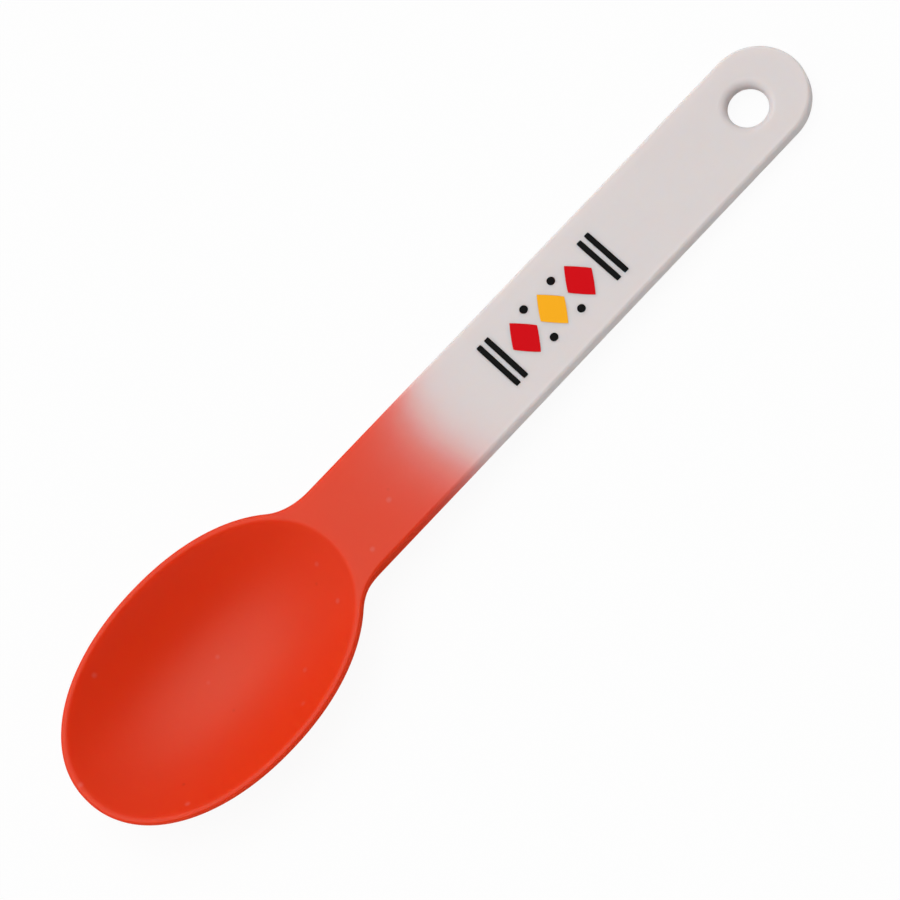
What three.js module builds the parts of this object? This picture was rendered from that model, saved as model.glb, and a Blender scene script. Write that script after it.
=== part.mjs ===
// Plastic spoon with a wide oval bowl, a flat handle with a hanging hole and a small ink print.
// Millimetres, +Z up, +X from the bowl to the handle's end.
// The spoon lies on z = 0, on its bowl's back and its handle's end.

import * as THREE from "three";

// Overall and bowl
const LENGTH = 150;
const BOWL_LENGTH = 52.7;
const BOWL_WIDTH = 34.8;
const BOWL_SQUARENESS = 2.11;
const BOWL_DEPTH = 7.2;
const BOWL_FULLNESS = 2.1;
const BOWL_WALL = 1.4;

// Rim of the bowl
const RIM_WIDTH = 0.9;
const RIM_WIDTH_AT_NECK = 1;
const RIM_HEIGHT = 1.15;
const RIM_EDGE_WIDTH = 0.4;
const RIM_EDGE_DROP = 0.35;

// Neck, where the handle's edges curve out into the bowl
const NECK_WIDTH = 16.25;
const FILLET_ALONG_BOWL = 4.8;
const FILLET_ALONG_HANDLE = 2.2;
const UNDERSIDE_BLEND = 2;
const THICKENING_LENGTH = 3.4;
const SHOULDER_LENGTH = 1.2;
const COLOURED_NECK_LENGTH = 17.1;

// Handle
const HANDLE_END_WIDTH = 15.9;
const HANDLE_THICKNESS = 2.8;
const HANDLE_EDGE_WIDTH = 0.5;
const HANDLE_EDGE_DROP = 0.5;
const UNDER_EDGE = 0.35;

// Hanging hole and the stretch of handle round it
const HOLE_DIAMETER = 6.25;
const HOLE_FROM_END = 9.9;
const HOLE_EDGE = 1.2;
const HANGING_END_LENGTH = 24;

// Ink print: a row of diamonds between pairs of cross bars, with dots beside the diamonds
const INK_THICKNESS = 0.1;
const INK_GAP = 0.01;
const PRINT_FROM_END = 51.3;
const DIAMOND_LENGTH = 5;
const DIAMOND_WIDTH = 6.6;
const DIAMOND_PITCH = 5.8;
const BAR_LENGTH = 8.6;
const BAR_WIDTH = 0.9;
const BAR_PITCH = 1.6;
const BAR_FROM_DIAMOND = 1.1;
const DOT_DIAMETER = 1.3;
const DOT_OFF_AXIS = 3.2;

// Steps along the curves
const OVAL_STEPS = 64;
const FILLET_STEPS = 9;
const BOWL_RINGS = 9;
const BACK_RINGS = 13;
const BACK_RING_CROWDING = 1.6;
const EDGE_STEPS = 6;
const UNDER_EDGE_STEPS = 3;
const CUT_STEPS = 8;
const END_ARC_STEPS = 30;
const HOLE_STEPS = 36;
const HOLE_EDGE_STEPS = 5;
const DOT_STEPS = 16;

// Colours
const ORANGE = 0xe04d31;
const WHITE = 0xdcd4d2;
const BLACK = 0x0a0a0a;
const RED = 0xd6000f;
const YELLOW = 0xf8b01e;

// Places along the spoon, measured from the bowl's tip
const bowlMid = BOWL_LENGTH / 2;
const bowlHalfWidth = BOWL_WIDTH / 2;
const bowlOuterDepth = BOWL_DEPTH + BOWL_WALL;
const filletStart = BOWL_LENGTH - FILLET_ALONG_BOWL;
const filletEnd = BOWL_LENGTH + FILLET_ALONG_HANDLE;
const bowlCut = filletEnd + SHOULDER_LENGTH;
const colourCut = bowlCut + COLOURED_NECK_LENGTH;
const hangingCut = LENGTH - HANGING_END_LENGTH;
const endRadius = HANDLE_END_WIDTH / 2;
const endArcX = LENGTH - endRadius;
const holeX = LENGTH - HOLE_FROM_END;
const holeRadius = HOLE_DIAMETER / 2;
const printX = LENGTH - PRINT_FROM_END;

const point = (x, y, z) => new THREE.Vector3(x, y, z);
const UP = point(0, 0, 1);
const DOWN = point(0, 0, -1);
const FORWARD = point(1, 0, 0);
const BACKWARD = point(-1, 0, 0);

// A closed mesh under construction: rows of points, joined by bands, fans and flat fills.
class Surface {
  points = [];
  triangles = [];

  row(points) {
    return points.map((point) => this.points.push(point) - 1);
  }

  // Joins two rows. The faces point along (row direction) x (first row to second row).
  band(first, second, closed = false) {
    const spans = closed ? first.length : first.length - 1;
    for (let i = 0; i < spans; i += 1) {
      const next = (i + 1) % first.length;
      this.triangles.push([first[i], first[next], second[next]]);
      this.triangles.push([first[i], second[next], second[i]]);
    }
  }

  fan(ring, apex) {
    ring.forEach((index, i) => this.triangles.push([index, ring[(i + 1) % ring.length], apex]));
  }

  // Fills a flat loop, with any holes in it, with faces along the given direction.
  fill(loop, holes, direction) {
    const along = Math.abs(direction.x) > 0.5 ? ["y", "z"] : ["x", "y"];
    const flat = (index) => new THREE.Vector2(this.points[index][along[0]], this.points[index][along[1]]);
    const indices = [loop, ...holes].flat();
    const faces = THREE.ShapeUtils.triangulateShape(loop.map(flat), holes.map((hole) => hole.map(flat)));
    for (const face of faces) {
      const [a, b, c] = face.map((i) => indices[i]);
      const triangle = new THREE.Triangle(this.points[a], this.points[b], this.points[c]);
      const agrees = triangle.getNormal(point(0, 0, 0)).dot(direction) > 0;
      this.triangles.push(agrees ? [a, b, c] : [a, c, b]);
    }
  }

  geometry() {
    const geometry = new THREE.BufferGeometry().setFromPoints(this.points);
    geometry.setIndex(this.triangles.flat());
    return geometry;
  }
}

const steps = (count) => Array.from({ length: count + 1 }, (_, i) => i / count);
const signedPower = (value, power) => Math.sign(value) * Math.abs(value) ** power;

// The bowl's oval at an angle, for an oval with the given middle and half sizes.
function ovalPoint(angle, middle, halfLength, halfWidth) {
  const power = 2 / BOWL_SQUARENESS;
  const x = middle + halfLength * signedPower(Math.cos(angle), power);
  const y = halfWidth * signedPower(Math.sin(angle), power);
  return point(x, y, 0);
}

// How far out a place lies in the bowl's oval: 0 in the middle, 1 on the outline.
function ovalReach(x, y) {
  const along = Math.abs((x - bowlMid) / bowlMid) ** BOWL_SQUARENESS;
  const across = Math.abs(y / bowlHalfWidth) ** BOWL_SQUARENESS;
  return (along + across) ** (1 / BOWL_SQUARENESS);
}

function handleHalfWidth(x) {
  const share = (x - filletEnd) / (endArcX - filletEnd);
  return THREE.MathUtils.lerp(NECK_WIDTH / 2, endRadius, share);
}

// 0 on the bowl, 1 on the handle: for the rounding of the edge, and for the thickness.
const edgeShare = (x) => THREE.MathUtils.smoothstep(x, filletStart, filletEnd);
const thickShare = (x) => THREE.MathUtils.smoothstep(x, filletStart - THICKENING_LENGTH, filletEnd);

// Depth of the underside below the rim's plane, where the bowl's back and the handle's underside meet.
function undersideDepth(x, y) {
  const back = RIM_HEIGHT + (bowlOuterDepth - RIM_HEIGHT) * (1 - ovalReach(x, y) ** BOWL_FULLNESS);
  const flat = THREE.MathUtils.lerp(RIM_HEIGHT - UNDERSIDE_BLEND, HANDLE_THICKNESS, thickShare(x));
  const blend = Math.max(UNDERSIDE_BLEND - Math.abs(back - flat), 0);
  return Math.max(back, flat) + (blend * blend) / (4 * UNDERSIDE_BLEND);
}

// A rounded edge, from the face to the upright wall: how far in from the outline, and how far below the face.
function roundedEdge(width, drop, count) {
  return steps(count).map((share) => {
    const angle = (share * Math.PI) / 2;
    return { inward: width * (1 - Math.sin(angle)), drop: drop * (1 - Math.cos(angle)) };
  });
}

// The section of the moulding's edge at a place on its outline, from the top face to the underside.
function edgeColumn(place, inward) {
  const share = edgeShare(place.x);
  const width = THREE.MathUtils.lerp(RIM_EDGE_WIDTH, HANDLE_EDGE_WIDTH, share);
  const drop = THREE.MathUtils.lerp(RIM_EDGE_DROP, HANDLE_EDGE_DROP, share);
  const bottom = place.clone().addScaledVector(inward, UNDER_EDGE);
  const depth = undersideDepth(bottom.x, bottom.y);
  const at = (distance, z) => place.clone().addScaledVector(inward, distance).setZ(z);
  const topEdge = roundedEdge(width, drop, EDGE_STEPS);
  const underEdge = roundedEdge(UNDER_EDGE, UNDER_EDGE, UNDER_EDGE_STEPS);
  const top = topEdge.map((edge) => at(edge.inward, -edge.drop));
  const under = underEdge.map((edge) => at(edge.inward, edge.drop - depth));
  return [...top, ...under.reverse()];
}

// The way into the material at each point of a clockwise outline. From a straight side it is square across.
function inwardDirections(outline, isStraight) {
  return outline.map((place, i) => {
    if (isStraight(place)) return point(0, -Math.sign(place.y), 0);
    const along = outline[i + 1].clone().sub(outline[i - 1]);
    return point(along.y, -along.x, 0).normalize();
  });
}

// Lays the edge's section along an outline and returns its rows, from the top face to the underside.
function sweepEdge(surface, outline, isStraight) {
  const inward = inwardDirections(outline, isStraight);
  const columns = outline.map((place, i) => edgeColumn(place, inward[i]));
  const rows = columns[0].map((_, k) => surface.row(columns.map((column) => column[k])));
  rows.slice(1).forEach((row, k) => surface.band(rows[k], row));
  return rows;
}

// The curve from the bowl's oval into one edge of the handle, in line with both.
function neckFillet() {
  const ovalX = (filletStart - bowlMid) / bowlMid;
  const start = ovalPoint(filletAngle(), bowlMid, bowlMid, bowlHalfWidth);
  const end = point(filletEnd, handleHalfWidth(filletEnd), 0);
  const along = ovalX ** (BOWL_SQUARENESS - 1) / bowlMid;
  const across = (start.y / bowlHalfWidth) ** (BOWL_SQUARENESS - 1) / bowlHalfWidth;
  const corner = point(start.x + ((start.y - end.y) * across) / along, end.y, 0);
  return new THREE.QuadraticBezierCurve3(start, corner, end);
}

function filletAngle() {
  return Math.acos(((filletStart - bowlMid) / bowlMid) ** (BOWL_SQUARENESS / 2));
}

// The bowl's outline, clockwise, from the cut on the -Y side round the tip to the cut on the +Y side.
function bowlOutline() {
  const shoulder = point(bowlCut, handleHalfWidth(bowlCut), 0);
  const fillet = neckFillet().getPoints(FILLET_STEPS);
  const side = [shoulder, ...fillet.reverse()];
  const mirrored = side.map((place) => point(place.x, -place.y, 0));
  const sweep = 2 * (Math.PI - filletAngle());
  const angles = steps(OVAL_STEPS).slice(1, -1).map((share) => -filletAngle() - share * sweep);
  const oval = angles.map((angle) => ovalPoint(angle, bowlMid, bowlMid, bowlHalfWidth));
  return [...mirrored, ...oval, ...side.reverse()];
}

function bowlGeometry() {
  const surface = new Surface();
  const edge = sweepEdge(surface, bowlOutline(), (place) => place.x >= filletEnd);
  const lastRow = edge[edge.length - 1];

  // Cavity, from the inside edge of the rim down to the bowl's floor
  const cavityLength = BOWL_LENGTH - RIM_WIDTH - RIM_WIDTH_AT_NECK;
  const cavityMid = RIM_WIDTH + cavityLength / 2;
  const rings = steps(BOWL_RINGS).slice(0, -1).map((share) => {
    const reach = 1 - share;
    const angles = steps(OVAL_STEPS).slice(0, -1).map((turn) => turn * 2 * Math.PI);
    const depth = BOWL_DEPTH * (1 - reach ** BOWL_FULLNESS);
    const halfWidth = bowlHalfWidth - RIM_WIDTH;
    const halfLength = cavityLength / 2;
    const ring = angles.map((angle) => ovalPoint(angle, cavityMid, reach * halfLength, reach * halfWidth));
    return surface.row(ring.map((place) => place.setZ(-depth)));
  });
  rings.slice(1).forEach((ring, i) => surface.band(rings[i], ring, true));
  surface.fan(rings[rings.length - 1], surface.row([point(cavityMid, 0, -BOWL_DEPTH)])[0]);
  surface.fill(edge[0], [rings[0]], UP);

  // Underside, from the edge and the cut in to the middle of the bowl's back
  const cutHalfWidth = handleHalfWidth(bowlCut) - UNDER_EDGE;
  const cutShares = steps(CUT_STEPS).slice(1, -1);
  const cutLine = cutShares.map((share) => {
    return point(bowlCut, cutHalfWidth * (1 - 2 * share), -HANDLE_THICKNESS);
  });
  const border = [...lastRow, ...surface.row(cutLine)];
  const middle = point(bowlMid, 0, 0);
  let outer = border;
  for (const share of steps(BACK_RINGS).slice(1, -1)) {
    const reach = 1 - share ** BACK_RING_CROWDING;
    const ring = border.map((index) => {
      const rim = surface.points[index].clone().setZ(0);
      const place = middle.clone().lerp(rim, reach / ovalReach(rim.x, rim.y));
      return place.setZ(-undersideDepth(place.x, place.y));
    });
    const inner = surface.row(ring);
    surface.band(outer, inner, true);
    outer = inner;
  }
  surface.fan(outer, surface.row([point(bowlMid, 0, -bowlOuterDepth)])[0]);

  // Cut face towards the neck
  const rightColumn = edge.map((row) => row[0]);
  const leftColumn = edge.map((row) => row[row.length - 1]);
  const bottomLine = border.slice(lastRow.length);
  surface.fill([...leftColumn, ...bottomLine, ...rightColumn.reverse()], [], FORWARD);
  return surface.geometry();
}

// A straight stretch of handle between two cuts.
function stretchGeometry(start, end) {
  const surface = new Surface();
  const section = (x) => {
    const halfWidth = handleHalfWidth(x);
    const left = edgeColumn(point(x, halfWidth, 0), point(0, -1, 0));
    const right = edgeColumn(point(x, -halfWidth, 0), point(0, 1, 0));
    return surface.row([...left, ...right.reverse()]);
  };
  const near = section(start);
  const far = section(end);
  surface.band(far, near, true);
  surface.fill(near, [], BACKWARD);
  surface.fill(far, [], FORWARD);
  return surface.geometry();
}

// The handle's round end, with the hanging hole through it.
function hangingEndGeometry() {
  const surface = new Surface();
  const arc = steps(END_ARC_STEPS).map((share) => {
    const angle = Math.PI * (0.5 - share);
    return point(endArcX + endRadius * Math.cos(angle), endRadius * Math.sin(angle), 0);
  });
  const start = point(hangingCut, handleHalfWidth(hangingCut), 0);
  const outline = [start, ...arc, point(hangingCut, -start.y, 0)];
  const sides = [0, 1, outline.length - 2, outline.length - 1].map((i) => outline[i]);
  const edge = sweepEdge(surface, outline, (place) => sides.includes(place));

  const holeRing = (radius, z) => {
    const angles = steps(HOLE_STEPS).slice(0, -1).map((turn) => turn * 2 * Math.PI);
    return surface.row(angles.map((a) => point(holeX + radius * Math.cos(a), radius * Math.sin(a), z)));
  };
  const rounding = roundedEdge(HOLE_EDGE, HOLE_EDGE, HOLE_EDGE_STEPS);
  const fromTop = rounding.map((step) => holeRing(holeRadius + step.inward, -step.drop));
  const fromBelow = rounding.map((step) => {
    return holeRing(holeRadius + step.inward, step.drop - HANDLE_THICKNESS);
  });
  const hole = [...fromTop, ...fromBelow.reverse()];
  hole.slice(1).forEach((ring, i) => surface.band(hole[i], ring, true));

  surface.fill(edge[0], [hole[0]], UP);
  surface.fill(edge[edge.length - 1], [hole[hole.length - 1]], DOWN);
  const leftColumn = edge.map((row) => row[0]);
  const rightColumn = edge.map((row) => row[row.length - 1]);
  surface.fill([...leftColumn, ...rightColumn.reverse()], [], BACKWARD);
  return surface.geometry();
}

// Ink films, each drawn about its own middle
function diamondShape() {
  const corners = [[DIAMOND_LENGTH, 0], [0, DIAMOND_WIDTH], [-DIAMOND_LENGTH, 0], [0, -DIAMOND_WIDTH]];
  return new THREE.Shape(corners.map(([x, y]) => new THREE.Vector2(x / 2, y / 2)));
}

function barShape() {
  const corners = [[1, 1], [-1, 1], [-1, -1], [1, -1]];
  const half = new THREE.Vector2(BAR_WIDTH / 2, BAR_LENGTH / 2);
  return new THREE.Shape(corners.map(([x, y]) => new THREE.Vector2(x, y).multiply(half)));
}

function dotShape() {
  return new THREE.Shape().absarc(0, 0, DOT_DIAMETER / 2, 0, 2 * Math.PI);
}

function filmGeometry(shape, x, y) {
  const options = { depth: INK_THICKNESS, bevelEnabled: false, curveSegments: DOT_STEPS };
  return new THREE.ExtrudeGeometry(shape, options).translate(printX + x, y, INK_GAP);
}

// The slope at which the spoon lies when its handle's end and its bowl's back both touch the table.
function restSlope() {
  const endX = LENGTH - UNDER_EDGE;
  const slopes = steps(OVAL_STEPS).map((share) => {
    const x = share * BOWL_LENGTH;
    return (undersideDepth(x, 0) - HANDLE_THICKNESS) / (endX - x);
  });
  return Math.max(...slopes);
}

// Moves a piece from the rim's plane to the lying spoon, with the origin under the middle of its length.
function layDown(geometry) {
  const slope = restSlope();
  const rise = HANDLE_THICKNESS + slope * (LENGTH - UNDER_EDGE);
  const matrix = new THREE.Matrix4();
  matrix.set(1, 0, 0, -LENGTH / 2, 0, 1, 0, 0, -slope, 0, 1, rise, 0, 0, 0, 1);
  return geometry.applyMatrix4(matrix);
}

const spoon = new THREE.Group();

function addPiece(name, geometry, color, roughness) {
  const material = new THREE.MeshStandardMaterial({ color, roughness, metalness: 0 });
  const mesh = new THREE.Mesh(layDown(geometry), material);
  mesh.name = name;
  spoon.add(mesh);
}

const PLASTIC_ROUGHNESS = 0.45;
const INK_ROUGHNESS = 0.35;

addPiece("bowl", bowlGeometry(), ORANGE, PLASTIC_ROUGHNESS);
addPiece("neck", stretchGeometry(bowlCut, colourCut), ORANGE, PLASTIC_ROUGHNESS);
addPiece("handle", stretchGeometry(colourCut, hangingCut), WHITE, PLASTIC_ROUGHNESS);
addPiece("hanging_end", hangingEndGeometry(), WHITE, PLASTIC_ROUGHNESS);

function addFilm(name, shape, x, y, color) {
  addPiece(`print_${name}`, filmGeometry(shape, x, y), color, INK_ROUGHNESS);
}

const barInnerX = DIAMOND_PITCH + DIAMOND_LENGTH / 2 + BAR_FROM_DIAMOND + BAR_WIDTH / 2;
const barOuterX = barInnerX + BAR_PITCH;
const dotX = DIAMOND_PITCH / 2;

addFilm("yellow_diamond", diamondShape(), 0, 0, YELLOW);
for (const [side, sign] of [["bowl_side", -1], ["end_side", 1]]) {
  addFilm(`red_diamond_${side}`, diamondShape(), sign * DIAMOND_PITCH, 0, RED);
  addFilm(`black_bar_inner_${side}`, barShape(), sign * barInnerX, 0, BLACK);
  addFilm(`black_bar_outer_${side}`, barShape(), sign * barOuterX, 0, BLACK);
  addFilm(`black_dot_left_${side}`, dotShape(), sign * dotX, DOT_OFF_AXIS, BLACK);
  addFilm(`black_dot_right_${side}`, dotShape(), sign * dotX, -DOT_OFF_AXIS, BLACK);
}

export default spoon;
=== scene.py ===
import math
from types import SimpleNamespace

import bpy
from mathutils import Matrix, Vector


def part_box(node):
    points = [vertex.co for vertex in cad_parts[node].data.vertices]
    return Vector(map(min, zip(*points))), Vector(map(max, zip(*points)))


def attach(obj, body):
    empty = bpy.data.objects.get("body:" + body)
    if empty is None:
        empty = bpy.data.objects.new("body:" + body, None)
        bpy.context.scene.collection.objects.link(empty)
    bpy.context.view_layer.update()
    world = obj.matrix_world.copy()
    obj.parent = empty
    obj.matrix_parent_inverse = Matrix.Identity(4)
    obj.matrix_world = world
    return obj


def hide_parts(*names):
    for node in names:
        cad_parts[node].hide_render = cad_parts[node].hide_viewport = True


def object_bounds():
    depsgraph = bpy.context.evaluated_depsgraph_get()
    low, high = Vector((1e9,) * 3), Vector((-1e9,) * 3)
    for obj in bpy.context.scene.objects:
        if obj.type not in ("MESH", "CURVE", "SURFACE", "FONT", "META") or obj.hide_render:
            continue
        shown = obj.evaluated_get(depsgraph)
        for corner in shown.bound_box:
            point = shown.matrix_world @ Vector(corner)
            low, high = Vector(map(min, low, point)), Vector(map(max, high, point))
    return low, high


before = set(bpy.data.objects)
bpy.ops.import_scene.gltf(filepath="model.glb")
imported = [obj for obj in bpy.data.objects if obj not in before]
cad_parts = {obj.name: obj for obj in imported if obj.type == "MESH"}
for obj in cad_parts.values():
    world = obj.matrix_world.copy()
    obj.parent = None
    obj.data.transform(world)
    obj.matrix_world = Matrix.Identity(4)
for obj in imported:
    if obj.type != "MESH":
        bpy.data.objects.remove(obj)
cad_low, cad_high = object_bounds()

MM = 0.001

# The moulding's sizes, in metres, with x from the bowl's tip and z from the rim's plane
handle_low, handle_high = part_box("handle")
bowl_low, bowl_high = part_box("bowl")
HANDLE_THICKNESS = 2.8 * MM
REST_SLOPE = (handle_high.z - handle_low.z - HANDLE_THICKNESS) / (handle_high.x - handle_low.x)
MOULDING_SIZES = dict(
    length=cad_high.x - cad_low.x,
    bowl_length=52.7 * MM,
    bowl_width=bowl_high.y - bowl_low.y,
    bowl_squareness=2.11,
    bowl_depth=7.2 * MM,
    bowl_fullness=2.1,
    bowl_wall=1.4 * MM,
    rim_width=0.9 * MM,
    rim_width_at_neck=1 * MM,
    rim_height=1.15 * MM,
    rim_edge_width=0.4 * MM,
    rim_edge_drop=0.35 * MM,
    lip_rounding=0.25 * MM,
    neck_width=16.25 * MM,
    fillet_along_bowl=4.8 * MM,
    fillet_along_handle=2.2 * MM,
    underside_blend=2 * MM,
    thickening_length=3.4 * MM,
    handle_end_width=15.9 * MM,
    handle_thickness=HANDLE_THICKNESS,
    handle_edge_width=0.5 * MM,
    handle_edge_drop=0.5 * MM,
    under_edge=0.35 * MM,
    hole_diameter=6.25 * MM,
    hole_from_end=9.9 * MM,
    hole_edge=1.2 * MM,
    rest_slope=REST_SLOPE,
    rest_rise=handle_high.z + REST_SLOPE * (handle_low.x - cad_low.x),
)

# Steps of the moulding's surfaces
OVAL_STEPS = 88
FILLET_STEPS = 20
SIDE_STEPS = 36
END_ARC_STEPS = 28
CUT_STEPS = 14
EDGE_STEPS = 10
UNDER_EDGE_STEPS = 4
CAVITY_STEPS = 96
CAVITY_RINGS = 30
CAVITY_CROWDING = 1.8
BACK_RINGS = 40
BACK_CROWDING = 1.6
HOLE_STEPS = 32
HOLE_EDGE_STEPS = 5
WELD_DISTANCE = 0.002 * MM


class Number:
    """A number in a node tree. Python's arithmetic on it adds Math nodes to the tree."""

    def __init__(self, tree, socket):
        self.tree = tree
        self.socket = socket

    def __add__(self, other):
        return calculate(self.tree, "ADD", self, other)

    def __radd__(self, other):
        return calculate(self.tree, "ADD", other, self)

    def __sub__(self, other):
        return calculate(self.tree, "SUBTRACT", self, other)

    def __rsub__(self, other):
        return calculate(self.tree, "SUBTRACT", other, self)

    def __mul__(self, other):
        return calculate(self.tree, "MULTIPLY", self, other)

    def __rmul__(self, other):
        return calculate(self.tree, "MULTIPLY", other, self)

    def __truediv__(self, other):
        return calculate(self.tree, "DIVIDE", self, other)

    def __rtruediv__(self, other):
        return calculate(self.tree, "DIVIDE", other, self)

    def __pow__(self, other):
        return calculate(self.tree, "POWER", self, other)

    def __neg__(self):
        return calculate(self.tree, "MULTIPLY", self, -1.0)

    def __abs__(self):
        return calculate(self.tree, "ABSOLUTE", self)

    def __gt__(self, other):
        return calculate(self.tree, "GREATER_THAN", self, other)

    def __lt__(self, other):
        return calculate(self.tree, "LESS_THAN", self, other)


def feed(tree, socket, value):
    if isinstance(value, Number):
        tree.links.new(value.socket, socket)
    elif isinstance(value, bpy.types.NodeSocket):
        tree.links.new(value, socket)
    else:
        socket.default_value = value


def calculate(tree, operation, *values):
    maths = tree.nodes.new("ShaderNodeMath")
    maths.operation = operation
    for socket, value in zip(maths.inputs, values):
        feed(tree, socket, value)
    return Number(tree, maths.outputs[0])


def add_node(tree, kind, inputs=None, **settings):
    made = tree.nodes.new(kind)
    for name, value in settings.items():
        setattr(made, name, value)
    for name, value in (inputs or {}).items():
        feed(tree, made.inputs[name], value)
    return made


def sine(angle):
    return calculate(angle.tree, "SINE", angle)


def cosine(angle):
    return calculate(angle.tree, "COSINE", angle)


def larger(first, second):
    return calculate(first.tree, "MAXIMUM", first, second)


def smaller(first, second):
    return calculate(first.tree, "MINIMUM", first, second)


def between(start, end, share):
    return start + (end - start) * share


def smooth_step(value, start, end):
    share = larger(smaller((value - start) / (end - start), 1.0), 0.0)
    return share * share * (3.0 - share * 2.0)


def soft_larger(first, second, blend):
    """The larger of two numbers, rounded over where they are within blend of each other."""
    near = larger(blend - abs(first - second), 0.0)
    return larger(first, second) + near * near / (blend * 4.0)


def signed_power(value, power):
    return calculate(value.tree, "SIGN", value) * abs(value) ** power


def new_tree(name, sizes):
    """A Geometry Nodes tree with one named input for each size, and a material."""
    tree = bpy.data.node_groups.new(name, "GeometryNodeTree")
    tree.interface.new_socket(name="Mesh", in_out="OUTPUT", socket_type="NodeSocketGeometry")
    tree.interface.new_socket(name="Material", in_out="INPUT", socket_type="NodeSocketMaterial")
    for key, value in sizes.items():
        kind = "NodeSocketInt" if isinstance(value, int) else "NodeSocketFloat"
        tree.interface.new_socket(name=key, in_out="INPUT", socket_type=kind)
    inputs = tree.nodes.new("NodeGroupInput")
    numbers = {key: Number(tree, inputs.outputs[key]) for key in sizes}
    return tree, SimpleNamespace(**numbers), inputs.outputs["Material"]


def grid_place(tree):
    """The x, y and z of a mesh's points, as numbers."""
    position = add_node(tree, "GeometryNodeInputPosition")
    parts = add_node(tree, "ShaderNodeSeparateXYZ", {"Vector": position.outputs[0]})
    return [Number(tree, socket) for socket in parts.outputs]


def set_place(tree, mesh, x, y, z):
    place = add_node(tree, "ShaderNodeCombineXYZ", {"X": x, "Y": y, "Z": z})
    moved = add_node(tree, "GeometryNodeSetPosition", {"Geometry": mesh, "Position": place.outputs[0]})
    return moved.outputs[0]


def join(tree, meshes):
    joined = tree.nodes.new("GeometryNodeJoinGeometry")
    for mesh in meshes:
        tree.links.new(mesh, joined.inputs[0])
    return joined.outputs[0]


def weld(tree, mesh):
    inputs = {"Geometry": mesh, "Distance": WELD_DISTANCE}
    return add_node(tree, "GeometryNodeMergeByDistance", inputs).outputs[0]


def shade(tree, mesh, smooth):
    inputs = {"Geometry": mesh, "Shade Smooth": smooth}
    return add_node(tree, "GeometryNodeSetShadeSmooth", inputs).outputs[0]


def lay_down(tree, mesh, size):
    """Moves a mesh from the rim's plane to the lying spoon, with the origin under its middle."""
    x, y, z = grid_place(tree)
    return set_place(tree, mesh, x - size.length / 2.0, y, z + size.rest_rise - size.rest_slope * x)


def end_tree(tree, mesh, material):
    """Closes a tree: real geometry, with its material, to the output."""
    real = add_node(tree, "GeometryNodeRealizeInstances", {"Geometry": mesh}).outputs[0]
    coated = add_node(tree, "GeometryNodeSetMaterial", {"Geometry": real, "Material": material})
    add_node(tree, "NodeGroupOutput", {"Mesh": coated.outputs[0]})


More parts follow.
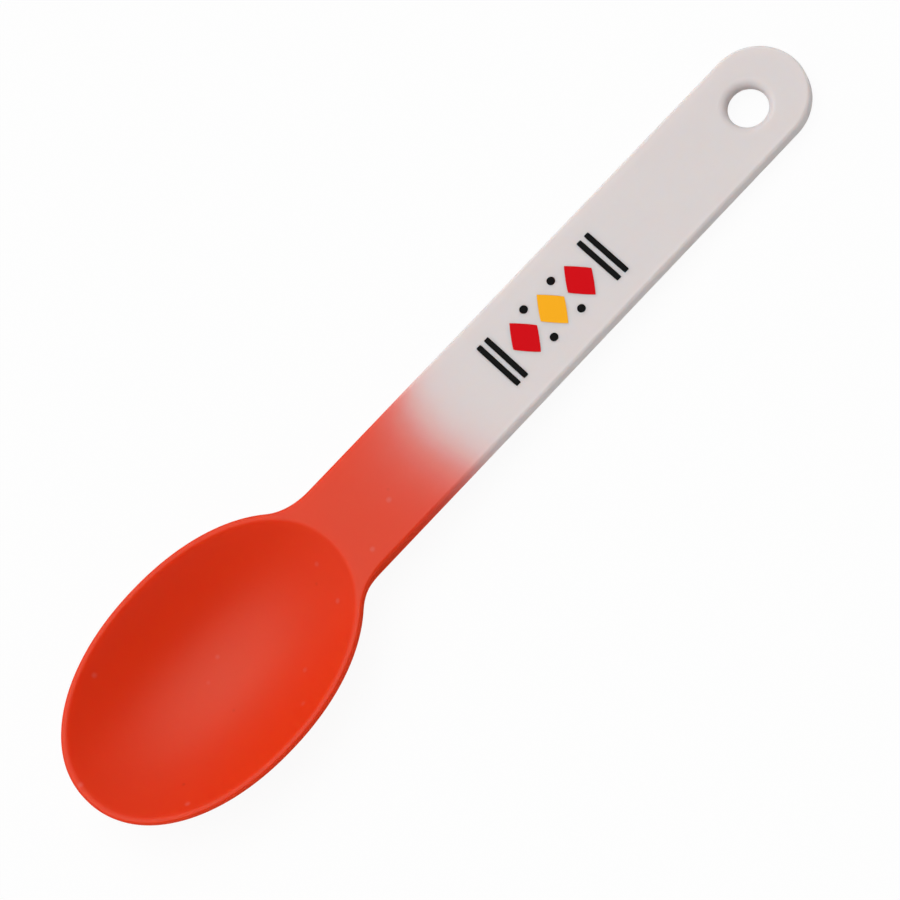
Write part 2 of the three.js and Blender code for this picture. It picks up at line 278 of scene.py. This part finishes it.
class MouldingTree:
    """The spoon's one moulding, from its formulas: half in patches, mirrored, with flat faces filled."""

    def __init__(self, sizes):
        self.tree, self.size, self.material = new_tree("spoon_moulding", sizes)
        size = self.size
        self.bowl_mid = size.bowl_length / 2.0
        self.bowl_half_width = size.bowl_width / 2.0
        self.fillet_start = size.bowl_length - size.fillet_along_bowl
        self.fillet_end = size.bowl_length + size.fillet_along_handle
        self.end_radius = size.handle_end_width / 2.0
        self.end_arc_x = size.length - self.end_radius
        x, y, self.z = grid_place(self.tree)
        self.u = x + 0.5
        self.v = y + 0.5
        self.patches = []

    def thick_share(self, x):
        """How far the moulding has thickened: 0 on the bowl, 1 on the handle."""
        return smooth_step(x, self.fillet_start - self.size.thickening_length, self.fillet_end)

    def underside_depth(self, x, y):
        """Depth of the underside, where the bowl's back and the handle's underside run together."""
        size = self.size
        along = abs((x - self.bowl_mid) / self.bowl_mid) ** size.bowl_squareness
        across = abs(y / self.bowl_half_width) ** size.bowl_squareness
        reach = (along + across) ** (1.0 / size.bowl_squareness)
        swell = size.bowl_depth + size.bowl_wall - size.rim_height
        back = size.rim_height + swell * (1.0 - reach ** size.bowl_fullness)
        flat = between(size.rim_height - size.underside_blend, size.handle_thickness, self.thick_share(x))
        return soft_larger(back, flat, size.underside_blend)

    def patch(self, columns, rows, x, y, z):
        inputs = {"Size X": 1.0, "Size Y": 1.0, "Vertices X": columns + 1, "Vertices Y": rows + 1}
        grid = add_node(self.tree, "GeometryNodeMeshGrid", inputs)
        self.patches.append(set_place(self.tree, grid.outputs["Mesh"], x, y, z))

    def edge(self, columns, x, y, in_x, in_y):
        """The moulding's edge along a stretch of its outline, from the top face to the underside."""
        size = self.size
        rows = EDGE_STEPS + 1 + UNDER_EDGE_STEPS
        row = calculate(self.tree, "ROUND", self.v * float(rows))
        share = smooth_step(x, self.fillet_start, self.fillet_end)
        width = between(size.rim_edge_width, size.handle_edge_width, share)
        drop = between(size.rim_edge_drop, size.handle_edge_drop, share)
        top_angle = smaller(row / float(EDGE_STEPS), 1.0) * (math.pi / 2)
        under_angle = larger((row - float(EDGE_STEPS + 1)) / float(UNDER_EDGE_STEPS), 0.0) * (math.pi / 2)
        below = row > EDGE_STEPS + 0.5
        top_inward = width * (1.0 - sine(top_angle))
        top_z = drop * (cosine(top_angle) - 1.0)
        under_inward = size.under_edge * (1.0 - cosine(under_angle))
        depth = self.underside_depth(x + in_x * size.under_edge, y + in_y * size.under_edge)
        under_z = size.under_edge * (1.0 - sine(under_angle)) - depth
        inward = top_inward + under_inward
        self.patch(columns, rows, x + in_x * inward, y + in_y * inward, between(top_z, under_z, below))

    def back(self, columns, x, y):
        """The underside from a stretch of its border in to the middle of the bowl's back."""
        out = 1.0 - self.v ** BACK_CROWDING
        back_x = between(self.bowl_mid, x, out)
        back_y = y * out
        self.patch(columns, BACK_RINGS, back_x, back_y, -self.underside_depth(back_x, back_y))

    def bowl_edge(self):
        """The edge and the back along the bowl's oval, from the tip to the neck."""
        size = self.size
        reach = (self.fillet_start - self.bowl_mid) / self.bowl_mid
        start_angle = calculate(self.tree, "ARCCOSINE", reach ** (size.bowl_squareness / 2.0))
        angle = between(math.pi, start_angle, self.u)
        power = 2.0 / size.bowl_squareness
        x = self.bowl_mid + self.bowl_mid * signed_power(cosine(angle), power)
        y = self.bowl_half_width * abs(sine(angle)) ** power
        slope_x = signed_power(cosine(angle), 2.0 - power) / self.bowl_mid
        slope_y = abs(sine(angle)) ** (2.0 - power) / self.bowl_half_width
        steepness = (slope_x * slope_x + slope_y * slope_y) ** 0.5
        in_x = -slope_x / steepness
        in_y = -slope_y / steepness
        self.edge(OVAL_STEPS, x, y, in_x, in_y)
        self.back(OVAL_STEPS, x + in_x * size.under_edge, y + in_y * size.under_edge)

    def neck_fillet(self):
        """The edge and the back along the curve from the bowl's oval into the handle's side."""
        size = self.size
        squareness = size.bowl_squareness
        reach = (self.fillet_start - self.bowl_mid) / self.bowl_mid
        start_x = self.fillet_start
        start_y = self.bowl_half_width * (1.0 - reach ** squareness) ** (1.0 / squareness)
        end_x = self.fillet_end
        end_y = size.neck_width / 2.0
        along = reach ** (squareness - 1.0) / self.bowl_mid
        across = (start_y / self.bowl_half_width) ** (squareness - 1.0) / self.bowl_half_width
        corner_x = start_x + (start_y - end_y) * across / along
        first_x = between(start_x, corner_x, self.u)
        first_y = between(start_y, end_y, self.u)
        second_x = between(corner_x, end_x, self.u)
        run = second_x - first_x
        fall = end_y - first_y
        length = (run * run + fall * fall) ** 0.5
        x = between(first_x, second_x, self.u)
        y = between(first_y, end_y, self.u)
        in_x = fall / length
        in_y = -run / length
        self.edge(FILLET_STEPS, x, y, in_x, in_y)
        self.back(FILLET_STEPS, x + in_x * size.under_edge, y + in_y * size.under_edge)
        self.back(CUT_STEPS, end_x, (end_y - size.under_edge) * (1.0 - self.u))

    def handle_edge(self):
        """The edge along the handle's side and a quarter of its round end."""
        side_x = between(self.fillet_end, self.end_arc_x, self.u)
        side_y = between(self.size.neck_width / 2.0, self.end_radius, self.u)
        self.edge(SIDE_STEPS, side_x, side_y, self.u * 0.0, self.u * 0.0 - 1.0)
        angle = (1.0 - self.u) * (math.pi / 2)
        arc_x = self.end_arc_x + self.end_radius * cosine(angle)
        arc_y = self.end_radius * sine(angle)
        self.edge(END_ARC_STEPS, arc_x, arc_y, -cosine(angle), -sine(angle))

    def cavity(self):
        """The bowl's hollow, from its floor up over the rounded lip."""
        size = self.size
        length = size.bowl_length - size.rim_width - size.rim_width_at_neck
        lip_reach = (1.0 + size.lip_rounding / size.bowl_depth) ** (1.0 / size.bowl_fullness)
        reach = lip_reach * (1.0 - (1.0 - self.v) ** CAVITY_CROWDING)
        angle = (1.0 - self.u) * math.pi
        power = 2.0 / size.bowl_squareness
        x = size.rim_width + length / 2.0 + reach * length / 2.0 * signed_power(cosine(angle), power)
        y = reach * (self.bowl_half_width - size.rim_width) * abs(sine(angle)) ** power
        depth = size.bowl_depth * (1.0 - reach ** size.bowl_fullness)
        self.patch(CAVITY_STEPS, CAVITY_RINGS, x, y, -soft_larger(depth, depth * 0.0, size.lip_rounding))

    def hanging_hole(self):
        size = self.size
        rows = 2 * HOLE_EDGE_STEPS + 1
        row = calculate(self.tree, "ROUND", self.v * float(rows))
        top_angle = smaller(row / float(HOLE_EDGE_STEPS), 1.0) * (math.pi / 2)
        under_angle = larger((row - HOLE_EDGE_STEPS - 1.0) / float(HOLE_EDGE_STEPS), 0.0) * (math.pi / 2)
        below = row > HOLE_EDGE_STEPS + 0.5
        flare = between(1.0 - sine(top_angle), 1.0 - cosine(under_angle), below)
        radius = size.hole_diameter / 2.0 + size.hole_edge * flare
        top_z = size.hole_edge * (cosine(top_angle) - 1.0)
        under_z = size.hole_edge * (1.0 - sine(under_angle)) - size.handle_thickness
        angle = self.u * math.pi
        x = size.length - size.hole_from_end + radius * cosine(angle)
        self.patch(HOLE_STEPS, rows, x, radius * sine(angle), between(top_z, under_z, below))

    def flat_face(self, shell, is_side, z, flip):
        """Fills the open edges of the shell that lie on one side with a flat face."""
        neighbours = add_node(self.tree, "GeometryNodeInputMeshEdgeNeighbors")
        faces = Number(self.tree, neighbours.outputs["Face Count"])
        inputs = {"Mesh": shell, "Selection": (faces < 1.5) * is_side}
        border = add_node(self.tree, "GeometryNodeMeshToCurve", inputs)
        fill = add_node(self.tree, "GeometryNodeFillCurve", {"Curve": border.outputs[0]})
        x, y, _ = grid_place(self.tree)
        face = set_place(self.tree, fill.outputs[0], x, y, z)
        if flip:
            face = add_node(self.tree, "GeometryNodeFlipFaces", {"Mesh": face}).outputs[0]
        return shade(self.tree, face, False)

    def build(self):
        tree = self.tree
        size = self.size
        self.bowl_edge()
        self.neck_fillet()
        self.handle_edge()
        self.cavity()
        self.hanging_hole()
        half = shade(tree, join(tree, self.patches), True)
        turned = add_node(tree, "GeometryNodeTransform", {"Geometry": half, "Scale": (1, -1, 1)})
        mirrored = add_node(tree, "GeometryNodeFlipFaces", {"Mesh": turned.outputs[0]}).outputs[0]
        shell = weld(tree, join(tree, [half, mirrored]))
        is_top = self.z > size.handle_thickness * -0.5
        is_under = self.z < size.handle_thickness * -0.5
        top = self.flat_face(shell, is_top, 0.0, False)
        under = self.flat_face(shell, is_under, -size.handle_thickness, True)
        closed = weld(tree, join(tree, [shell, top, under]))
        end_tree(tree, lay_down(tree, closed, size), self.material)
        return tree


# The print's sizes: each motif is an oval of its own squareness, set out in rows and columns
PRINT_STEPS = 96
PRINT_FROM_END = 51.3 * MM
DIAMOND_LENGTH = 5 * MM
DIAMOND_WIDTH = 6.6 * MM
DIAMOND_PITCH = 5.8 * MM
DIAMOND_SQUARENESS = 1.06
BAR_LENGTH = 8.6 * MM
BAR_WIDTH = 0.9 * MM
BAR_PITCH = 1.6 * MM
BAR_FROM_DIAMOND = 1.1 * MM
BAR_SQUARENESS = 14.0
DOT_DIAMETER = 1.3 * MM
DOT_OFF_AXIS = 3.2 * MM
DOT_SQUARENESS = 2.0
INK_THICKNESS = 0.06 * MM
INK_SINK = 0.02 * MM
BAR_INNER = DIAMOND_PITCH + DIAMOND_LENGTH / 2 + BAR_FROM_DIAMOND + BAR_WIDTH / 2
BAR_OUTER = BAR_INNER + BAR_PITCH


def motif_sizes(length, width, squareness, columns=1, spread=0.0, rows=1, spread_across=0.0):
    return dict(
        motif_length=length,
        motif_width=width,
        motif_squareness=squareness,
        columns=columns,
        spread=spread,
        rows=rows,
        spread_across=spread_across,
        ink_thickness=INK_THICKNESS,
        ink_sink=INK_SINK,
        middle_x=MOULDING_SIZES["length"] - PRINT_FROM_END,
        length=MOULDING_SIZES["length"],
        rest_slope=MOULDING_SIZES["rest_slope"],
        rest_rise=MOULDING_SIZES["rest_rise"],
    )


def print_tree():
    """A film of ink for each place of a small grid, laid on the handle's top face."""
    tree, size, material = new_tree("ink_motifs", motif_sizes(0.0, 0.0, 0.0))
    x, y, z = grid_place(tree)
    circle = add_node(tree, "GeometryNodeCurvePrimitiveCircle", {"Resolution": PRINT_STEPS, "Radius": 1.0})
    power = 2.0 / size.motif_squareness
    motif_x = size.motif_length / 2.0 * signed_power(x, power)
    motif_y = size.motif_width / 2.0 * signed_power(y, power)
    outline = set_place(tree, circle.outputs[0], motif_x, motif_y, 0.0)
    face = add_node(tree, "GeometryNodeFillCurve", {"Curve": outline}).outputs[0]
    raised = add_node(tree, "GeometryNodeExtrudeMesh", {
        "Mesh": face,
        "Offset Scale": size.ink_thickness + size.ink_sink,
        "Individual": False,
    }).outputs["Mesh"]
    base = add_node(tree, "GeometryNodeFlipFaces", {"Mesh": face}).outputs[0]
    film = weld(tree, join(tree, [raised, base]))
    sunk = shade(tree, set_place(tree, film, x, y, z - size.ink_sink), False)
    places = add_node(tree, "GeometryNodeMeshGrid", {
        "Size X": size.spread,
        "Size Y": size.spread_across,
        "Vertices X": size.columns,
        "Vertices Y": size.rows,
    })
    points = set_place(tree, places.outputs["Mesh"], x + size.middle_x, y, z)
    copies = add_node(tree, "GeometryNodeInstanceOnPoints", {"Points": points, "Instance": sunk})
    real = add_node(tree, "GeometryNodeRealizeInstances", {"Geometry": copies.outputs[0]}).outputs[0]
    end_tree(tree, lay_down(tree, real, size), material)
    return tree


def grow(name, tree, sizes, material):
    """A plain mesh piece from a tree and its sizes."""
    piece = bpy.data.objects.new(name, bpy.data.meshes.new(name))
    bpy.context.scene.collection.objects.link(piece)
    modifier = piece.modifiers.new("shape", "NODES")
    modifier.node_group = tree
    for item in tree.interface.items_tree:
        if item.in_out == "INPUT":
            modifier[item.identifier] = material if item.name == "Material" else sizes[item.name]
    graph = bpy.context.evaluated_depsgraph_get()
    mesh = bpy.data.meshes.new_from_object(piece.evaluated_get(graph))
    piece.modifiers.remove(modifier)
    piece.data = mesh
    mesh.name = name
    return piece


# Finishes
CLOUD_DETAIL = 2.0
GRAIN_DETAIL = 3.0

# The Mix node's sockets for colours, in the node's own order
MIX_SHARE = 0
MIX_FIRST = 6
MIX_SECOND = 7
MIX_RESULT = 2


def new_group(name, inputs, outputs):
    """A shader node group with named number inputs and outputs."""
    group = bpy.data.node_groups.new(name, "ShaderNodeTree")
    for key, value in inputs.items():
        socket = group.interface.new_socket(name=key, in_out="INPUT", socket_type="NodeSocketFloat")
        socket.default_value = value
    for key in outputs:
        group.interface.new_socket(name=key, in_out="OUTPUT", socket_type="NodeSocketFloat")
    ins = group.nodes.new("NodeGroupInput")
    numbers = {key: Number(group, ins.outputs[key]) for key in inputs}
    return group, SimpleNamespace(**numbers), group.nodes.new("NodeGroupOutput")


def object_place(tree):
    return tree.nodes.new("ShaderNodeTexCoord").outputs["Object"]


def noise(tree, place, scale, detail=CLOUD_DETAIL):
    inputs = {"Vector": place, "Scale": scale, "Detail": detail}
    made = add_node(tree, "ShaderNodeTexNoise", inputs)
    return Number(tree, made.outputs[0])


def satin_skin_group():
    """The fine skin that the mould's satin face leaves: a height, a roughness change and a cloudy tone."""
    inputs = dict(grain_scale=2200.0, cloud_scale=110.0, rough_change=0.08, tone_change=0.03)
    group, size, out = new_group("satin_skin", inputs, ["height", "rough_change", "tone"])
    place = object_place(group)
    grain = noise(group, place, size.grain_scale, GRAIN_DETAIL)
    cloud = noise(group, place, size.cloud_scale)
    feed(group, out.inputs["height"], grain)
    feed(group, out.inputs["rough_change"], (grain + cloud - 1.0) * size.rough_change)
    feed(group, out.inputs["tone"], (cloud - 0.5) * size.tone_change + 1.0)
    return group


def flecks_group():
    """Sparse small specks in the plastic: 1 in the middle of a speck, 0 between them."""
    group, size, out = new_group("flecks", dict(scale=1.0, radius=1.0), ["fleck"])
    inputs = {"Vector": object_place(group), "Scale": size.scale}
    specks = add_node(group, "ShaderNodeTexVoronoi", inputs)
    distance = Number(group, specks.outputs["Distance"]) / size.scale
    feed(group, out.inputs["fleck"], 1.0 - smooth_step(distance, 0.0, size.radius))
    return group


satin_skin = satin_skin_group()
fleck_pattern = flecks_group()


def new_material(name):
    material = bpy.data.materials.new(name)
    material.use_nodes = True
    tree = material.node_tree
    return material, tree, tree.nodes["Principled BSDF"]


def mix_colours(tree, share, first, second):
    mixed = tree.nodes.new("ShaderNodeMix")
    mixed.data_type = "RGBA"
    feed(tree, mixed.inputs[MIX_SHARE], share)
    feed(tree, mixed.inputs[MIX_FIRST], first)
    feed(tree, mixed.inputs[MIX_SECOND], second)
    return mixed.outputs[MIX_RESULT]


def times_tone(tree, colour, tone):
    """A colour made lighter or darker by a tone."""
    inputs = {"Color": colour, "Value": tone}
    return add_node(tree, "ShaderNodeHueSaturation", inputs).outputs[0]


def linear(red, green, blue):
    """A colour written in 0 to 255 as a screen shows it, for a shader."""
    parts = [value / 255 for value in (red, green, blue)]
    parts = [c / 12.92 if c <= 0.04045 else ((c + 0.055) / 1.055) ** 2.4 for c in parts]
    return (*parts, 1.0)


ORANGE = linear(219, 49, 4)
WHITE = linear(215, 208, 208)
BLACK = linear(12, 12, 12)
RED = linear(206, 4, 16)
YELLOW = linear(246, 172, 28)
PURE_WHITE = (1.0, 1.0, 1.0, 1.0)

# Gloss and grain of the plastic and the ink, and the rougher skin on upright walls
PLASTIC_ROUGHNESS = 0.43
PLASTIC_GLOSS = 0.28
PLASTIC_GLOSS_TINT = (1.0, 0.97, 0.8, 1.0)
PLASTIC_GRAIN = 0.25
WALL_ROUGHNESS = 1.0
WALL_UPRIGHT = (0.15, 0.6)
INK_ROUGHNESS = 0.38
INK_GLOSS = 0.03
INK_GRAIN = 0.15
GRAIN_DEPTH = 0.02 * MM

# Light that passes under the plastic's skin
UNDER_SKIN_SHARE = 0.7
UNDER_SKIN_SPREAD = (1.0, 0.7, 0.55)
UNDER_SKIN_DEPTH = 2.5 * MM

# Where the coloured plastic fades into the white
FADE_X = -1.6 * MM
FADE_LENGTH = 1.75 * MM
FADE_TAIL_X = -4.0 * MM
FADE_TAIL_LENGTH = 3.2 * MM
FADE_TAIL_SHARE = 0.33
FADE_CURL = 1.9 * MM
FADE_CURL_LEAN = 0.45
FADE_WANDER = 0.9 * MM
FADE_WANDER_SCALE = 260.0
NECK_HALF_WIDTH = MOULDING_SIZES["neck_width"] / 2

# Specks in the plastic
PALE_FLECK_SCALE = 180.0
PALE_FLECK_RADIUS = 0.65 * MM
PALE_FLECK_SHARE = 0.09
DARK_FLECK_SCALE = 130.0
DARK_FLECK_RADIUS = 0.45 * MM
DARK_FLECK_SHARE = 0.2


def finish_surface(tree, shader, colour, roughness, grain):
    """Puts the satin skin over a colour and wires it to the shader."""
    skin = add_node(tree, "ShaderNodeGroup", node_tree=satin_skin)
    feed(tree, shader.inputs["Base Color"], times_tone(tree, colour, skin.outputs["tone"]))
    rough = Number(tree, skin.outputs["rough_change"]) + roughness
    feed(tree, shader.inputs["Roughness"], rough)
    inputs = {"Strength": grain, "Distance": GRAIN_DEPTH, "Height": skin.outputs["height"]}
    bump = add_node(tree, "ShaderNodeBump", inputs)
    feed(tree, shader.inputs["Normal"], bump.outputs[0])


def soft_step(number):
    """Goes from 0 far below zero to 1 far above it."""
    return 1.0 / (calculate(number.tree, "EXPONENT", -number) + 1.0)


def flecks(tree, scale, radius):
    placed = add_node(tree, "ShaderNodeGroup", node_tree=fleck_pattern)
    placed.inputs["scale"].default_value = scale
    placed.inputs["radius"].default_value = radius
    return Number(tree, placed.outputs["fleck"])


def uprightness(tree):
    """1 on the upright walls round the edges and in the hole, 0 on the faces."""
    facing = tree.nodes.new("ShaderNodeTexCoord").outputs["Normal"]
    parts = add_node(tree, "ShaderNodeSeparateXYZ", {"Vector": facing})
    return 1.0 - smooth_step(abs(Number(tree, parts.outputs["Z"])), *WALL_UPRIGHT)


def spoon_plastic():
    """Satin plastic, orange at the bowl and white at the handle, with a soft U-shaped fade between."""
    material, tree, shader = new_material("colour_change_plastic")
    place = object_place(tree)
    parts = add_node(tree, "ShaderNodeSeparateXYZ", {"Vector": place})
    x, y, _ = [Number(tree, socket) for socket in parts.outputs]
    across = y / NECK_HALF_WIDTH
    curl = across * across * (1.0 + across * FADE_CURL_LEAN) * FADE_CURL
    wander = (noise(tree, place, FADE_WANDER_SCALE) - 0.5) * FADE_WANDER
    along = x - curl + wander
    body = soft_step((along - FADE_X) / FADE_LENGTH)
    tail = soft_step((along - FADE_TAIL_X) / FADE_TAIL_LENGTH)
    white_share = between(body, tail, FADE_TAIL_SHARE)
    colour = mix_colours(tree, white_share, ORANGE, WHITE)
    pale = flecks(tree, PALE_FLECK_SCALE, PALE_FLECK_RADIUS)
    dark = flecks(tree, DARK_FLECK_SCALE, DARK_FLECK_RADIUS) * (1.0 - white_share)
    colour = mix_colours(tree, pale * PALE_FLECK_SHARE, colour, WHITE)
    colour = times_tone(tree, colour, 1.0 - dark * DARK_FLECK_SHARE)
    roughness = between(PLASTIC_ROUGHNESS, WALL_ROUGHNESS, uprightness(tree))
    finish_surface(tree, shader, colour, roughness, PLASTIC_GRAIN)
    shader.inputs["Specular IOR Level"].default_value = PLASTIC_GLOSS
    shader.inputs["Specular Tint"].default_value = PLASTIC_GLOSS_TINT
    shader.inputs["Subsurface Weight"].default_value = UNDER_SKIN_SHARE
    shader.inputs["Subsurface Radius"].default_value = UNDER_SKIN_SPREAD
    shader.inputs["Subsurface Scale"].default_value = UNDER_SKIN_DEPTH
    return material


def ink(name, colour):
    """A flat printed ink with almost no gloss."""
    material, tree, shader = new_material(name)
    finish_surface(tree, shader, colour, INK_ROUGHNESS, INK_GRAIN)
    shader.inputs["Specular IOR Level"].default_value = INK_GLOSS
    return material


# Pieces
moulding = grow("spoon_moulding", MouldingTree(MOULDING_SIZES).build(), MOULDING_SIZES, spoon_plastic())
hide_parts("bowl", "neck", "handle", "hanging_end")
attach(moulding, "root")

ink_motifs = print_tree()
black_ink = ink("black_ink", BLACK)
red_ink = ink("red_ink", RED)
yellow_ink = ink("yellow_ink", YELLOW)
ends = ("bowl_side", "end_side")
diamond = (DIAMOND_LENGTH, DIAMOND_WIDTH, DIAMOND_SQUARENESS)
bar = (BAR_WIDTH, BAR_LENGTH, BAR_SQUARENESS)
dot = (DOT_DIAMETER, DOT_DIAMETER, DOT_SQUARENESS)
dot_nodes = [f"print_black_dot_{side}_{end}" for side in ("left", "right") for end in ends]
films = [
    ("yellow_diamond", yellow_ink, "yellow_ink", motif_sizes(*diamond), ["print_yellow_diamond"]),
    ("red_diamonds", red_ink, "red_ink", motif_sizes(*diamond, columns=2, spread=2 * DIAMOND_PITCH),
     [f"print_red_diamond_{end}" for end in ends]),
    ("inner_bars", black_ink, "black_ink", motif_sizes(*bar, columns=2, spread=2 * BAR_INNER),
     [f"print_black_bar_inner_{end}" for end in ends]),
    ("outer_bars", black_ink, "black_ink", motif_sizes(*bar, columns=2, spread=2 * BAR_OUTER),
     [f"print_black_bar_outer_{end}" for end in ends]),
    ("dots", black_ink, "black_ink",
     motif_sizes(*dot, columns=2, spread=DIAMOND_PITCH, rows=2, spread_across=2 * DOT_OFF_AXIS), dot_nodes),
]
for name, material, slot, sizes, nodes in films:
    film = grow(name, ink_motifs, sizes, material)
    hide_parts(*nodes)
    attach(film, "root")


# Floor, light and camera
FLOOR_SIZE = 3.0
FLOOR_GAP = 0.1 * MM
FLOOR_COLOUR = (0.78, 0.78, 0.78, 1.0)
FLOOR_WHITENING = 0.94


def white_floor():
    """A pale floor that the camera sees nearly white, with the spoon's soft shadow kept."""
    material = bpy.data.materials.new("studio_white")
    material.use_nodes = True
    tree = material.node_tree
    tree.nodes.clear()
    paper = add_node(tree, "ShaderNodeBsdfDiffuse", {"Color": FLOOR_COLOUR})
    glow = add_node(tree, "ShaderNodeEmission", {"Color": PURE_WHITE, "Strength": 1.0})
    path = tree.nodes.new("ShaderNodeLightPath")
    seen = Number(tree, path.outputs["Is Camera Ray"]) * FLOOR_WHITENING
    mixed = add_node(tree, "ShaderNodeMixShader", {"Fac": seen})
    tree.links.new(paper.outputs[0], mixed.inputs[1])
    tree.links.new(glow.outputs[0], mixed.inputs[2])
    add_node(tree, "ShaderNodeOutputMaterial", {"Surface": mixed.outputs[0]})
    return material


floor_mesh = bpy.data.meshes.new("floor")
half_floor = FLOOR_SIZE / 2
corner_ways = ((-1, -1), (1, -1), (1, 1), (-1, 1))
corners = [(x * half_floor, y * half_floor, -FLOOR_GAP) for x, y in corner_ways]
floor_mesh.from_pydata(corners, [], [(0, 1, 2, 3)])
floor_mesh.materials.append(white_floor())
floor = bpy.data.objects.new("floor", floor_mesh)
bpy.context.scene.collection.objects.link(floor)

# A soft tent of light: a bright top that leans to +Y, and dimmer walls that are brighter past the bowl
TENT_TOP = 3.16
TENT_TOP_WAY = (0.0, 0.314, 0.949)
TENT_TOP_EDGE = 0.7
TENT_WALL = 0.59
TENT_WALL_TOP = (0.54, 0.62)
TENT_WALL_LEAN = (-0.38, -0.15)
world = bpy.data.worlds.new("studio")
bpy.context.scene.world = world
world.use_nodes = True
sky = world.node_tree
seen = Number(sky, sky.nodes.new("ShaderNodeLightPath").outputs["Is Camera Ray"])
way = sky.nodes.new("ShaderNodeTexCoord").outputs["Generated"]
facing = add_node(sky, "ShaderNodeVectorMath", {0: way, 1: TENT_TOP_WAY}, operation="DOT_PRODUCT")
tent_top = smooth_step(Number(sky, facing.outputs["Value"]), TENT_TOP_EDGE, 1.0) * TENT_TOP
way_parts = add_node(sky, "ShaderNodeSeparateXYZ", {"Vector": way})
way_x, way_y, way_z = [Number(sky, socket) for socket in way_parts.outputs]
wall_lean = way_x * TENT_WALL_LEAN[0] + way_y * TENT_WALL_LEAN[1] + 1.0
tent_wall = (1.0 - smooth_step(way_z, *TENT_WALL_TOP)) * wall_lean * TENT_WALL
tent = tent_top + tent_wall
background = sky.nodes["Background"]
background.inputs["Color"].default_value = PURE_WHITE
feed(sky, background.inputs["Strength"], between(tent, 1.0, seen))

# The camera looks from the handle's -Y side, leant over from square to the rim's plane, and is rolled
CAMERA_DISTANCE = 0.505
CAMERA_LEAN = math.radians(19.73)
CAMERA_SIDEWAYS = math.radians(-2.03)
CAMERA_ROLL = math.radians(46.37)
CAMERA_LENS = 138.5
AIM_FROM_TIP = 73.36 * MM
AIM_ACROSS = -3.6 * MM
spoon_turn = Matrix.Rotation(math.atan(REST_SLOPE), 3, "Y")
aim = Vector((
    AIM_FROM_TIP - MOULDING_SIZES["length"] / 2,
    AIM_ACROSS,
    MOULDING_SIZES["rest_rise"] - REST_SLOPE * AIM_FROM_TIP,
))
back = spoon_turn @ Vector((
    math.sin(CAMERA_SIDEWAYS),
    -math.sin(CAMERA_LEAN) * math.cos(CAMERA_SIDEWAYS),
    math.cos(CAMERA_LEAN) * math.cos(CAMERA_SIDEWAYS),
))
along = spoon_turn @ Vector((1, 0, 0))
along = (along - back * along.dot(back)).normalized()
across = back.cross(along)
right = along * math.cos(CAMERA_ROLL) - across * math.sin(CAMERA_ROLL)
up = back.cross(right)
camera_data = bpy.data.cameras.new("camera")
camera_data.lens = CAMERA_LENS
camera = bpy.data.objects.new("camera", camera_data)
camera_turn = Matrix((right, up, back)).transposed().to_4x4()
camera.matrix_world = Matrix.Translation(aim + back * CAMERA_DISTANCE) @ camera_turn
bpy.context.scene.collection.objects.link(camera)
bpy.context.scene.camera = camera
bpy.context.scene.view_settings.view_transform = "Standard"
